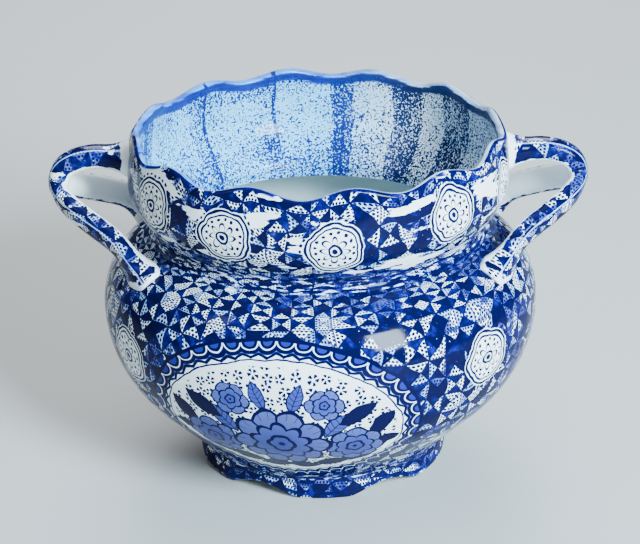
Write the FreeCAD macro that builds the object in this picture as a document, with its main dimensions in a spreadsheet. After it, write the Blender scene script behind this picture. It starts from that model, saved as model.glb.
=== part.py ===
import FreeCAD, Part
import math
import os
import Sketcher

# Two-handled glazed earthenware jardiniere, sizes in millimetres.
# The origin is the middle of the base, Z is up, the handles lie along X and the front faces -Y.

doc = FreeCAD.newDocument("Jardiniere")

# Driving sizes

sizes = (
    ("foot_radius", 70.0, "outside of the foot on the table"),
    ("foot_taper", 1.0, "foot narrows this much to its top"),
    ("foot_wall", 11.0, "foot ring, outside to inside"),
    ("foot_height", 14.0, "foot ring, table to slip"),
    ("arch_count", 6, "arches round the foot"),
    ("arch_width", 39.0, "one arch, pad to pad"),
    ("arch_rise", 6.3, "one arch, table to crown"),
    ("joint_thick", 1.2, "slip layer between two castings"),
    ("joint_lap", 1.0, "slip showing round a handle root"),
    ("joint_gap", 0.1, "handle root clear of its slip"),
    ("base_overhang", 2.0, "bowl underside beyond the foot top"),
    ("floor_thick", 7.0, "floor of the bowl"),
    ("bowl_wall", 6.0, "wall of the bowl"),
    ("belly_radius", 120.0, "widest part of the bowl"),
    ("belly_rise", 78.8, "bowl underside to its widest part"),
    ("belly_arc_radius", 72.0, "profile arc below the widest part"),
    ("waist_in", 30.7, "widest part in to the crease under the collar"),
    ("shoulder_rise", 41.2, "widest part to the crease"),
    ("neck_wall", 5.5, "wall at the crease"),
    ("collar_out", 14.4, "crease out to the outside of the collar"),
    ("rim_in", 2.5, "collar draws in to the rim"),
    ("collar_wall", 5.0, "wall of the collar and lip"),
    ("swell_rise", 28.0, "crease to full collar width"),
    ("swell_power", 1.3, "shape of the swell, 1 is a sine"),
    ("collar_rise", 53.8, "crease to the mean rim"),
    ("rim_count", 12, "waves round the rim"),
    ("rim_wave", 2.4, "rise and fall of the rim"),
    ("rim_flare", 1.2, "outward lean of each dip"),
    ("rim_fade", 26.0, "depth over which the waves fade"),
    ("rim_turn", 5.0, "degrees of a dip left of the front"),
    ("handle_out", 27.5, "widest part out to the outside of a handle"),
    ("arm_drop", 15.0, "mean rim to the arm"),
    ("arm_lift", 1.0, "hump of the arm"),
    ("arm_width", 15.0, "arm, front to back"),
    ("arm_thick", 11.5, "arm, top to bottom"),
    ("arm_tail", 4.0, "arm running on past the bend"),
    ("bend_drop", 29.0, "mean rim to the outer bend"),
    ("leg_width", 13.5, "leg, across its broad face"),
    ("leg_thick", 8.5, "leg, through"),
    ("leg_angle", 24.5, "degrees of a leg root off the side"),
    ("leg_inset", 14.0, "widest part in to a leg root"),
    ("leg_lean", 20.0, "degrees of a broad face off upright"),
    ("root_tail", 9.0, "arm or leg running on past its root"),
    ("root_flare", 2.6, "widening of a root, each side"),
    ("root_run", 15.0, "length over which a root widens"),
    ("overrun", 5.0, "tools beyond what they cut"),
)

sheet = doc.addObject("Spreadsheet::Sheet", "Sizes")
for row, (alias, value, note) in enumerate(sizes, 1):
    sheet.set("A%d" % row, note)
    sheet.set("B%d" % row, str(value))
    sheet.setAlias("B%d" % row, alias)
doc.recompute()


def size(alias):
    return float(sheet.get(alias))


# Levels and radii that several pieces share

foot_top_radius = size("foot_radius") - size("foot_taper")
foot_bore_radius = size("foot_radius") - size("foot_wall")
base_radius = foot_top_radius + size("base_overhang")
base_level = size("foot_height") + size("joint_thick")
floor_level = base_level + size("floor_thick")
belly_level = base_level + size("belly_rise")
waist_level = belly_level + size("shoulder_rise")
waist_radius = size("belly_radius") - size("waist_in")
neck_radius = waist_radius - size("neck_wall")
collar_radius = waist_radius + size("collar_out")
collar_level = waist_level + size("joint_thick")
rim_level = collar_level + size("collar_rise")

shoulder_radius = (size("waist_in") ** 2 + size("shoulder_rise") ** 2) / (2 * size("waist_in"))
shoulder_centre = size("belly_radius") - shoulder_radius
belly_centre = size("belly_radius") - size("belly_arc_radius")

base_text = "Sizes.foot_height + Sizes.joint_thick"
belly_text = base_text + " + Sizes.belly_rise"
waist_text = belly_text + " + Sizes.shoulder_rise"
top_text = "Sizes.foot_radius - Sizes.foot_taper"
bore_text = "Sizes.foot_radius - Sizes.foot_wall"
crease_text = "Sizes.belly_radius - Sizes.waist_in"
neck_text = crease_text + " - Sizes.neck_wall"


def plane(body, role):
    return [item for item in body.Origin.OriginFeatures if item.Role == role][0]


def new_sketch(body, name, role):
    sketch = body.newObject("Sketcher::SketchObject", name)
    sketch.AttachmentSupport = [(plane(body, role), "")]
    sketch.MapMode = "FlatFace"
    return sketch


def point(x, y):
    return FreeCAD.Vector(x, y, 0)


def bind(sketch, kind, where, text):
    value = float(sketch.evalExpression(text))
    spot = sketch.addConstraint(Sketcher.Constraint(kind, *where, value))
    sketch.setExpression("Constraints[%d]" % spot, text)


def join(sketch, first, first_end, second, second_end):
    sketch.addConstraint(Sketcher.Constraint("Coincident", first, first_end, second, second_end))


def turn_body(body, sketch):
    turned = body.newObject("PartDesign::Revolution", sketch.Name + "_turn")
    turned.Profile = sketch
    turned.ReferenceAxis = (sketch, ["V_Axis"])
    turned.Angle = 360
    sketch.Visibility = False
    return turned


def ring_body(label, section):
    body = doc.addObject("PartDesign::Body", label)
    body.Label = label
    sketch = new_sketch(body, label + "_section", "XZ_Plane")
    corners = [point(across, up) for across, up, across_text, up_text in section]
    count = len(corners)
    for index in range(count):
        sketch.addGeometry(Part.LineSegment(corners[index], corners[(index + 1) % count]), False)
    for index in range(count):
        join(sketch, index, 2, (index + 1) % count, 1)
    for index in range(count):
        across, up, across_text, up_text = section[index]
        bind(sketch, "DistanceX", (-1, 1, index, 1), across_text)
        if up_text:
            bind(sketch, "DistanceY", (-1, 1, index, 1), up_text)
        else:
            sketch.addConstraint(Sketcher.Constraint("PointOnObject", index, 1, -1))
    turn_body(body, sketch)
    return body


# Foot ring with its arches

foot = ring_body(
    "foot_ring",
    (
        (foot_bore_radius, 0, bore_text, ""),
        (size("foot_radius"), 0, "Sizes.foot_radius", ""),
        (foot_top_radius, size("foot_height"), top_text, "Sizes.foot_height"),
        (foot_bore_radius, size("foot_height"), bore_text, "Sizes.foot_height"),
    ),
)
doc.recompute()
plain_volume = foot.Shape.Volume

arch_radius = (size("arch_width") ** 2 / 4 + size("arch_rise") ** 2) / (2 * size("arch_rise"))
arch_text = "(Sizes.arch_width ^ 2 / 4 + Sizes.arch_rise ^ 2) / (2 * Sizes.arch_rise)"
arch_sketch = new_sketch(foot, "arch_round", "YZ_Plane")
arch_centre = point(0, size("arch_rise") - arch_radius)
arch_sketch.addGeometry(Part.Circle(arch_centre, FreeCAD.Vector(0, 0, 1), arch_radius), False)
arch_sketch.addConstraint(Sketcher.Constraint("PointOnObject", 0, 3, -2))
bind(arch_sketch, "Radius", (0,), arch_text)
bind(arch_sketch, "DistanceY", (0, 3, -1, 1), arch_text + " - Sizes.arch_rise")
arch = foot.newObject("PartDesign::Pocket", "arch_cut")
arch.Profile = arch_sketch
arch.Type = "Length"
arch.setExpression("Length", "Sizes.foot_radius + Sizes.overrun")
arch_sketch.Visibility = False
arches = foot.newObject("PartDesign::PolarPattern", "arches")
arches.Originals = [arch]
arches.Axis = (plane(foot, "Z_Axis"), [""])
arches.Angle = 360
arches.setExpression("Occurrences", "Sizes.arch_count")
foot.Tip = arches
doc.recompute()
if foot.Shape.Volume >= plain_volume:
    raise RuntimeError("the arches cut nothing")

# Slip layers under and over the bowl

ring_body(
    "foot_joint",
    (
        (foot_bore_radius, size("foot_height"), bore_text, "Sizes.foot_height"),
        (foot_top_radius, size("foot_height"), top_text, "Sizes.foot_height"),
        (foot_top_radius, base_level, top_text, base_text),
        (foot_bore_radius, base_level, bore_text, base_text),
    ),
)
ring_body(
    "neck_joint",
    (
        (neck_radius, waist_level, neck_text, waist_text),
        (waist_radius, waist_level, crease_text, waist_text),
        (waist_radius, collar_level, crease_text, waist_text + " + Sizes.joint_thick"),
        (neck_radius, collar_level, neck_text, waist_text + " + Sizes.joint_thick"),
    ),
)

# Bowl: a straight flank, two arcs that meet at the widest part, and a land for the collar


def flank_angle(radius, offset_radius, offset_level):
    across = offset_radius - belly_centre
    up = offset_level - belly_level
    return math.atan2(up, across) + math.acos(radius / math.hypot(across, up))


def on_arc(centre, radius, angle):
    return point(centre + radius * math.cos(angle), belly_level + radius * math.sin(angle))


outer_angle = flank_angle(size("belly_arc_radius"), base_radius, base_level)
inner_belly = size("belly_arc_radius") - size("bowl_wall")
inner_shoulder = shoulder_radius - size("bowl_wall")
touch = on_arc(belly_centre, size("belly_arc_radius"), outer_angle)
inner_touch = on_arc(belly_centre, inner_belly, outer_angle)
flank_run = (touch.x - base_radius) / (touch.y - base_level)
floor_radius = inner_touch.x - flank_run * (inner_touch.y - floor_level)
waist_angle = math.atan2(size("shoulder_rise"), waist_radius - shoulder_centre)
neck_angle = math.acos((neck_radius - shoulder_centre) / inner_shoulder)
neck_foot = on_arc(shoulder_centre, inner_shoulder, neck_angle)

bowl = doc.addObject("PartDesign::Body", "bowl")
bowl.Label = "bowl"
wall = new_sketch(bowl, "bowl_section", "XZ_Plane")
facing = FreeCAD.Vector(0, 0, 1)


def arc(centre, radius, start, end):
    circle = Part.Circle(point(centre, belly_level), facing, radius)
    return Part.ArcOfCircle(circle, start, end)


underside = wall.addGeometry(Part.LineSegment(point(0, base_level), point(base_radius, base_level)), False)
flank = wall.addGeometry(Part.LineSegment(point(base_radius, base_level), touch), False)
lower = wall.addGeometry(arc(belly_centre, size("belly_arc_radius"), outer_angle, 0), False)
upper = wall.addGeometry(arc(shoulder_centre, shoulder_radius, 0, waist_angle), False)
land_out = point(waist_radius, waist_level)
land_in = point(neck_radius, waist_level)
land = wall.addGeometry(Part.LineSegment(land_out, land_in), False)
neck = wall.addGeometry(Part.LineSegment(land_in, neck_foot), False)
upper_in = wall.addGeometry(arc(shoulder_centre, inner_shoulder, 0, neck_angle), False)
lower_in = wall.addGeometry(arc(belly_centre, inner_belly, outer_angle, 0), False)
flank_in = wall.addGeometry(Part.LineSegment(inner_touch, point(floor_radius, floor_level)), False)
floor = wall.addGeometry(Part.LineSegment(point(floor_radius, floor_level), point(0, floor_level)), False)
middle = wall.addGeometry(Part.LineSegment(point(0, floor_level), point(0, base_level)), False)

join(wall, underside, 2, flank, 1)
wall.addConstraint(Sketcher.Constraint("Tangent", flank, 2, lower, 1))
wall.addConstraint(Sketcher.Constraint("Tangent", lower, 2, upper, 1))
join(wall, upper, 2, land, 1)
join(wall, land, 2, neck, 1)
join(wall, neck, 2, upper_in, 2)
wall.addConstraint(Sketcher.Constraint("Tangent", upper_in, 1, lower_in, 2))
wall.addConstraint(Sketcher.Constraint("Tangent", lower_in, 1, flank_in, 1))
join(wall, flank_in, 2, floor, 1)
join(wall, floor, 2, middle, 1)
join(wall, middle, 2, underside, 1)
join(wall, upper_in, 3, upper, 3)
join(wall, lower_in, 3, lower, 3)
for level_line in (underside, land, floor):
    wall.addConstraint(Sketcher.Constraint("Horizontal", level_line))
wall.addConstraint(Sketcher.Constraint("Vertical", neck))
wall.addConstraint(Sketcher.Constraint("PointOnObject", middle, 1, -2))
wall.addConstraint(Sketcher.Constraint("PointOnObject", middle, 2, -2))
wall.addConstraint(Sketcher.Constraint("Horizontal", lower, 3, lower, 2))
bind(wall, "DistanceY", (-1, 1, underside, 1), base_text)
bind(wall, "DistanceX", (-1, 1, flank, 1), top_text + " + Sizes.base_overhang")
bind(wall, "DistanceX", (-1, 1, lower, 2), "Sizes.belly_radius")
bind(wall, "DistanceY", (-1, 1, lower, 2), belly_text)
bind(wall, "Radius", (lower,), "Sizes.belly_arc_radius")
bind(wall, "DistanceX", (-1, 1, upper, 2), crease_text)
bind(wall, "DistanceY", (-1, 1, upper, 2), waist_text)
bind(wall, "DistanceX", (-1, 1, neck, 1), neck_text)
bind(wall, "DistanceX", (lower_in, 2, lower, 2), "Sizes.bowl_wall")
bind(wall, "DistanceY", (-1, 1, floor, 1), base_text + " + Sizes.floor_thick")
turn_body(bowl, wall)
doc.recompute()

# Collar: one skin round the wavy lip, closed by a flat ring on the slip

around_count = 10 * int(size("rim_count"))
swell_count = 7
wall_count = 6
lip_count = 8
step = 2 * math.pi / around_count
# Poles of a closed cubic curve lie outside it by this much
pole_out = 3 / (2 + math.cos(step))


def wave_weight(up):
    depth_share = min(1, max(0, (rim_level - up) / size("rim_fade")))
    return (1 + math.cos(math.pi * depth_share)) / 2


def collar_outer(up):
    lip_level = rim_level - size("collar_wall") / 2
    swell_level = collar_level + size("swell_rise")
    if up < swell_level:
        rise = math.sin((up - collar_level) / size("swell_rise") * math.pi / 2) ** size("swell_power")
        return waist_radius + rise * size("collar_out")
    share = min(1, (up - swell_level) / (lip_level - swell_level))
    return collar_radius - size("rim_in") * share ** 2


def collar_reach(up):
    return collar_outer(up) + size("rim_flare") * wave_weight(up)


def collar_section():
    lip_radius = size("collar_wall") / 2
    swell_level = collar_level + size("swell_rise")
    lip_level = rim_level - lip_radius
    levels = [collar_level + size("swell_rise") * index / swell_count for index in range(swell_count)]
    for index in range(wall_count):
        levels.append(swell_level + (lip_level - swell_level) * index / wall_count)
    outside = []
    inside = []
    for up in levels:
        share = min(1, (up - collar_level) / size("swell_rise"))
        thick = size("neck_wall") + share * (size("collar_wall") - size("neck_wall"))
        outside.append((collar_outer(up), up))
        inside.append((collar_outer(up) - thick, up))
    lip = []
    for index in range(lip_count + 1):
        angle = math.pi * index / lip_count
        across = collar_outer(lip_level) - lip_radius + lip_radius * math.cos(angle)
        lip.append((across, lip_level + lip_radius * math.sin(angle)))
    return outside + lip + inside[::-1]


def collar_solid():
    grid = []
    section = collar_section()
    for turn in range(around_count):
        angle = turn * step
        front_angle = angle + math.pi / 2 + math.radians(size("rim_turn"))
        wave = math.cos(size("rim_count") * front_angle)
        line = []
        for across, up in section:
            lean = wave * wave_weight(up)
            radius = (across + lean * size("rim_flare")) * pole_out
            level = up - lean * size("rim_wave")
            line.append(FreeCAD.Vector(radius * math.cos(angle), radius * math.sin(angle), level))
        grid.append(line)
    across_count = len(section)
    skin = Part.BSplineSurface()
    round_knots = list(range(around_count + 1))
    across_knots = list(range(across_count - 2))
    across_mults = [4] + [1] * (across_count - 4) + [4]
    skin.buildFromPolesMultsKnots(
        grid, [1] * (around_count + 1), across_mults, round_knots, across_knots, True, False, 3, 3
    )
    face = skin.toShape()
    rings = [edge for edge in face.Edges if edge.BoundBox.ZLength < size("joint_thick") / 2]
    rings.sort(key=lambda edge: -edge.BoundBox.XLength)
    bottom = Part.Face([Part.Wire(rings[0]), Part.Wire(rings[-1])])
    shell = Part.makeShell([face, bottom])
    shell.sewShape()
    solid = Part.makeSolid(shell)
    if solid.Volume < 0:
        solid.reverse()
    return solid


def own_shape(label, shape):
    piece = doc.addObject("Part::Feature", label)
    piece.Label = label
    piece.Shape = shape
    piece.Placement = FreeCAD.Placement()
    return piece


collar = own_shape("collar", collar_solid())

# Handles: an arm under the rim that forks into two legs on the shoulder

arm_level = rim_level - size("arm_drop")
bend_level = rim_level - size("bend_drop")
arm_start = collar_reach(arm_level) + size("joint_thick")
bend_across = size("belly_radius") + size("handle_out") - size("arm_thick") / 2
arm_run_shares = (0.0, 0.25, 0.5, 0.84)
arm_lift_shares = (0.0, 0.8, 1.0, 0.0)
arm_drop_shares = (0.0, 0.0, 0.0, 0.3)
leg_in_shares = (0.0, 0.025, 0.092, 0.227, 0.436, 0.735, 1.0)
leg_out_shares = (0.0, 0.12, 0.26, 0.42, 0.59, 0.795, 1.0)
leg_drop_shares = (0.027, 0.083, 0.16, 0.268, 0.41, 0.637, 1.0)
section_count = 14
nose_share = 0.2
nose_thin_share = 0.3


def oval(middle, wide, deep, half_wide, half_deep):
    along = wide.cross(deep)
    matrix = FreeCAD.Matrix(
        wide.x * half_wide, deep.x * half_deep, along.x, middle.x,
        wide.y * half_wide, deep.y * half_deep, along.y, middle.y,
        wide.z * half_wide, deep.z * half_deep, along.z, middle.z,
        0, 0, 0, 1,
    )
    return Part.Wire(Part.makeCircle(1).transformGeometry(matrix).Edges)


def strap(path, root, wide, half_width, half_thick):
    # The path runs from the fork to the root, which flares
    curve = Part.BSplineCurve()
    curve.interpolate(path)
    first = curve.FirstParameter
    last = curve.LastParameter
    wires = []
    for index in range(section_count + 1):
        share = index / section_count
        place = first + (last - first) * share
        along = curve.tangent(place)[0]
        level_wide = (wide - along * wide.dot(along)).normalize()
        to_root = max(0, (root - curve.value(place)).dot(along))
        swell = max(0, 1 - to_root / size("root_run")) ** 2 * size("root_flare")
        thin = 1 - nose_thin_share * max(0, 1 - share / nose_share) ** 2
        deep = along.cross(level_wide)
        half_wide = half_width * thin + swell
        half_deep = half_thick * thin + swell
        wires.append(oval(curve.value(place), level_wide, deep, half_wide, half_deep))
    return Part.makeLoft(wires, True, False)


def root_place(side, back):
    root_radius = size("belly_radius") - size("leg_inset")
    outer = shoulder_radius + size("joint_thick")
    lift = math.sqrt(outer ** 2 - (root_radius - shoulder_centre) ** 2)
    turn = math.radians(size("leg_angle"))
    across = side * root_radius * math.cos(turn)
    return FreeCAD.Vector(across, back * root_radius * math.sin(turn), belly_level + lift)


def arm_path(side):
    run = bend_across - arm_start
    drop = arm_level - bend_level
    path = []
    for share, lift, fall in zip(arm_run_shares, arm_lift_shares, arm_drop_shares):
        up = arm_level + lift * size("arm_lift") - fall * drop
        path.append(FreeCAD.Vector(side * (arm_start + share * run), 0, up))
    path.append(FreeCAD.Vector(side * bend_across, 0, bend_level))
    path.append(FreeCAD.Vector(side * bend_across, 0, bend_level - size("arm_tail")))
    path.insert(0, path[0] - FreeCAD.Vector(side * size("root_tail"), 0, 0))
    return path[::-1]


def leg_path(side, back):
    root = root_place(side, back)
    top = FreeCAD.Vector(side * bend_across, 0, bend_level)
    path = []
    for inward, outward, fall in zip(leg_in_shares, leg_out_shares, leg_drop_shares):
        across = top.x + (root.x - top.x) * inward
        path.append(FreeCAD.Vector(across, root.y * outward, top.z + (root.z - top.z) * fall))
    inward = (path[-1] - path[-2]).normalize()
    path.append(path[-1] + inward * size("root_tail"))
    return path


def across_leg(side, back):
    root = root_place(side, back)
    run = FreeCAD.Vector(root.x - side * bend_across, root.y, 0).normalize()
    outward = FreeCAD.Vector(-run.y, run.x, 0) * (side * -back)
    lean = math.radians(size("leg_lean"))
    return outward * math.sin(lean) + FreeCAD.Vector(0, 0, math.cos(lean))


def sector(inner, outer):
    start = point(shoulder_centre + outer, belly_level)
    bend = on_arc(shoulder_centre, outer, math.pi / 4)
    crown = on_arc(shoulder_centre, outer, math.pi / 2)
    edges = [Part.Arc(start, bend, crown).toShape()]
    if inner:
        low_crown = on_arc(shoulder_centre, inner, math.pi / 2)
        low_bend = on_arc(shoulder_centre, inner, math.pi / 4)
        low_start = point(shoulder_centre + inner, belly_level)
        edges.append(Part.makeLine(crown, low_crown))
        edges.append(Part.Arc(low_crown, low_bend, low_start).toShape())
        edges.append(Part.makeLine(low_start, start))
    else:
        edges.append(Part.makeLine(crown, point(0, crown.y)))
        edges.append(Part.makeLine(point(0, crown.y), point(0, belly_level)))
        edges.append(Part.makeLine(point(0, belly_level), start))
    face = Part.Face(Part.Wire(edges))
    face.rotate(FreeCAD.Vector(0, 0, 0), FreeCAD.Vector(1, 0, 0), 90)
    return face.revolve(FreeCAD.Vector(0, 0, 0), FreeCAD.Vector(0, 0, 1), 360)


def collar_block(radius):
    tall = 2 * (size("arm_thick") + size("root_flare") + size("joint_lap"))
    block = Part.makeCylinder(radius, tall)
    block.translate(FreeCAD.Vector(0, 0, arm_level - tall / 2))
    return block


shoulder_block = sector(0, shoulder_radius + size("joint_thick") + size("joint_gap"))
shoulder_layer = sector(shoulder_radius, shoulder_radius + size("joint_thick"))


def handle_solid(side):
    half_width = size("leg_width") / 2
    half_thick = size("leg_thick") / 2
    arm_wide = FreeCAD.Vector(0, 1, 0)
    path = arm_path(side)
    arm = strap(path, path[-2], arm_wide, size("arm_width") / 2, size("arm_thick") / 2)
    legs = []
    for back in (-1, 1):
        path = leg_path(side, back)
        legs.append(strap(path, path[-2], across_leg(side, back), half_width, half_thick))
    arm = arm.cut(collar_block(arm_start + size("joint_gap")))
    return arm.fuse(legs).cut(shoulder_block).Solids[0]


def pad_solids(side):
    lap = size("root_flare") + size("joint_lap")
    wide = FreeCAD.Vector(0, 1, 0)
    deep = FreeCAD.Vector(0, 0, 1)
    start = FreeCAD.Vector(side * (collar_reach(arm_level) - size("collar_wall") / 2), 0, arm_level)
    end = FreeCAD.Vector(side * arm_start, 0, arm_level)
    ring = oval(start, wide, deep, size("arm_width") / 2 + lap, size("arm_thick") / 2 + lap)
    pads = [Part.Face(ring).extrude(end - start).common(collar_block(arm_start)).cut(collar.Shape)]
    for back in (-1, 1):
        path = leg_path(side, back)
        along = (path[-1] - path[-2]).normalize()
        across = across_leg(side, back)
        level = (across - along * across.dot(along)).normalize()
        start = path[-2] - along * size("root_tail")
        deep = along.cross(level)
        ring = oval(start, level, deep, size("leg_width") / 2 + lap, size("leg_thick") / 2 + lap)
        plug = Part.Face(ring).extrude(along * 2 * size("root_tail"))
        pads.append(plug.common(shoulder_layer))
    return Part.makeCompound([solid for pad in pads for solid in pad.Solids])


for side, name in ((-1, "left"), (1, "right")):
    own_shape(name + "_handle", handle_solid(side))
    own_shape(name + "_handle_joints", pad_solids(side))

# Check every object, then write one file for each piece

doc.recompute()
labels = (
    "bowl",
    "collar",
    "foot_ring",
    "neck_joint",
    "foot_joint",
    "left_handle",
    "right_handle",
    "left_handle_joints",
    "right_handle_joints",
)
for item in doc.Objects:
    if "Invalid" in item.State or "Error" in item.State:
        raise RuntimeError(item.Name + " failed")
os.makedirs("parts", exist_ok=True)
for label in labels:
    shape = doc.getObject(label).Shape
    if shape.isNull() or not shape.isValid() or not shape.Solids:
        raise RuntimeError(label + " has no sound solid")
    shape.exportStep("parts/%s.step" % label)
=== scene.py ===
import math

import bmesh
import bpy
import numpy as np
from mathutils import Matrix, Vector


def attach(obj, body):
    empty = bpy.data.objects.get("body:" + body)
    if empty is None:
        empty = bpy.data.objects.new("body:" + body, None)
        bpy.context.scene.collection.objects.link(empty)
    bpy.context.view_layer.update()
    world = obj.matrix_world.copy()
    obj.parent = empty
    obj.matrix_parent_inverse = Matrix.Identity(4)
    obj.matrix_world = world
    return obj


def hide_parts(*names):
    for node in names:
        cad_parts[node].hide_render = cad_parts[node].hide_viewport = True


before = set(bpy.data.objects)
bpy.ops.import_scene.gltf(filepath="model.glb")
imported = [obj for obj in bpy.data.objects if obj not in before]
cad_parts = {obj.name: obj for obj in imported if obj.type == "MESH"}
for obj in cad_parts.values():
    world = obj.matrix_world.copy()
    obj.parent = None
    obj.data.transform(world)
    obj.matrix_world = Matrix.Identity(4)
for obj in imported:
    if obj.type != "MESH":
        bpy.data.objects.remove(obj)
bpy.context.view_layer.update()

print("stage: frame loaded with", len(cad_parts), "nodes")


# Modelling helpers

fullTurn = 2 * math.pi
mm = 1000  # millimetres in a metre
mergeGap = 1e-6
axisGap = 1e-5  # nearer than this, a point is on the axis of the pot
smoothAngle = 50


def addRing(name, points):  # a circle whose points are moved onto a section
    bpy.ops.object.select_all(action="DESELECT")
    bpy.ops.mesh.primitive_circle_add(vertices=len(points), radius=0.1, fill_type="NOTHING")
    piece = bpy.context.object
    piece.name = piece.data.name = name
    for vertex, (across, up) in zip(piece.data.vertices, points):
        vertex.co = (across, 0, up)
    return piece


def spinRing(piece, points, steps, onAxis):  # turns the section and gives each vertex its place along it
    bpy.ops.object.mode_set(mode="EDIT")
    bpy.ops.mesh.select_mode(type="EDGE")
    if onAxis:  # both ends of the section are on the axis, so the edge between them goes
        bpy.ops.mesh.select_all(action="DESELECT")
        cage = bmesh.from_edit_mesh(piece.data)
        for edge in cage.edges:
            if {vertex.index for vertex in edge.verts} == {0, len(points) - 1}:
                edge.select_set(True)
        bpy.ops.mesh.delete(type="EDGE")
    bpy.ops.mesh.select_all(action="SELECT")
    bpy.ops.mesh.spin(steps=steps, angle=fullTurn, center=(0, 0, 0), axis=(0, 0, 1))
    bpy.ops.mesh.select_all(action="SELECT")
    bpy.ops.mesh.remove_doubles(threshold=mergeGap)
    bpy.ops.mesh.normals_make_consistent(inside=False)
    bpy.ops.object.mode_set(mode="OBJECT")
    section = np.array(points)
    along = np.concatenate([[0], np.cumsum(np.hypot(*np.diff(section, axis=0).T))])
    spots = readSpots(piece)
    flat = np.stack([np.hypot(spots[:, 0], spots[:, 1]), spots[:, 2]], 1)
    nearest = np.array([int(np.argmin(((section - spot) ** 2).sum(1))) for spot in flat])
    return nearest, along


def readSpots(piece):
    spots = np.empty(len(piece.data.vertices) * 3)
    piece.data.vertices.foreach_get("co", spots)
    return spots.reshape(-1, 3)


def writeSpots(piece, spots):
    piece.data.vertices.foreach_set("co", spots.ravel())
    piece.data.update()


def addMap(piece, name, across, up):  # a UV map from two values at every face corner
    layer = piece.data.uv_layers.new(name=name)
    values = np.stack([across, np.broadcast_to(up, across.shape)], 1)
    layer.data.foreach_set("uv", values.astype(np.float32).ravel())


def cornersOf(piece):  # vertex and face of every face corner
    corner = np.empty(len(piece.data.loops), dtype=np.int32)
    piece.data.loops.foreach_get("vertex_index", corner)
    totals = np.empty(len(piece.data.polygons), dtype=np.int32)
    piece.data.polygons.foreach_get("loop_total", totals)
    return corner, np.repeat(np.arange(len(totals)), totals)


def roundAngles(piece):  # angle from the front at each corner, unbroken over every face
    spots = readSpots(piece)
    corner, face = cornersOf(piece)
    middles = np.empty(len(piece.data.polygons) * 3)
    piece.data.polygons.foreach_get("center", middles)
    middles = middles.reshape(-1, 3)
    faceAngle = np.arctan2(middles[:, 0], -middles[:, 1])
    angle = np.arctan2(spots[corner, 0], -spots[corner, 1])
    onAxis = np.hypot(spots[corner, 0], spots[corner, 1]) < axisGap
    angle = np.where(onAxis, faceAngle[face], angle)
    angle += fullTurn * np.round((faceAngle[face] - angle) / fullTurn)
    return angle, corner, face, faceAngle[face]


def nearMotif(angle, faceAngle, rise, motifs, reach, size):  # place about the nearest motif, in its own size
    turns = np.radians([turn for turn, level in motifs])
    levels = np.array([level for turn, level in motifs])
    gap = faceAngle[:, None] - turns[None, :]
    gap -= fullTurn * np.round(gap / fullTurn)
    best = np.argmin(np.abs(gap), 1)
    across = angle - faceAngle + gap[np.arange(len(best)), best]
    return across * reach / size, (rise - levels[best]) / size


def faceSpan(spot, corner, face):  # first and last point of the section that every face touches
    lowest = np.full(face[-1] + 1, len(spot))
    highest = np.zeros(face[-1] + 1, dtype=np.int64)
    np.minimum.at(lowest, face, spot[corner])
    np.maximum.at(highest, face, spot[corner])
    return lowest, highest


def paintFaces(piece, slots):
    piece.data.polygons.foreach_set("material_index", slots.astype(np.int32))


def finishPiece(piece, slot, *nodes):
    bpy.ops.object.select_all(action="DESELECT")
    piece.select_set(True)
    bpy.context.view_layer.objects.active = piece
    bpy.ops.object.shade_smooth_by_angle(angle=math.radians(smoothAngle))
    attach(piece, "root")
    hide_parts(*nodes)


def linePoints(first, last, shares):
    return [(first[0] + (last[0] - first[0]) * share, first[1] + (last[1] - first[1]) * share) for share in shares]


def bendPoints(first, pull, last, count):  # a bend from one point to another, pulled towards a third
    shares = np.linspace(0, 1, count)
    first, pull, last = [np.array(spot) for spot in (first, pull, last)]
    return [tuple(first * (1 - s) ** 2 + pull * 2 * s * (1 - s) + last * s ** 2) for s in shares]


def arcPoints(middle, radius, start, end, count):
    turns = np.linspace(start, end, count)
    return [(middle[0] + radius * math.cos(turn), middle[1] + radius * math.sin(turn)) for turn in turns]


# Shader helper: a socket with the sums that the materials use

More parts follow.
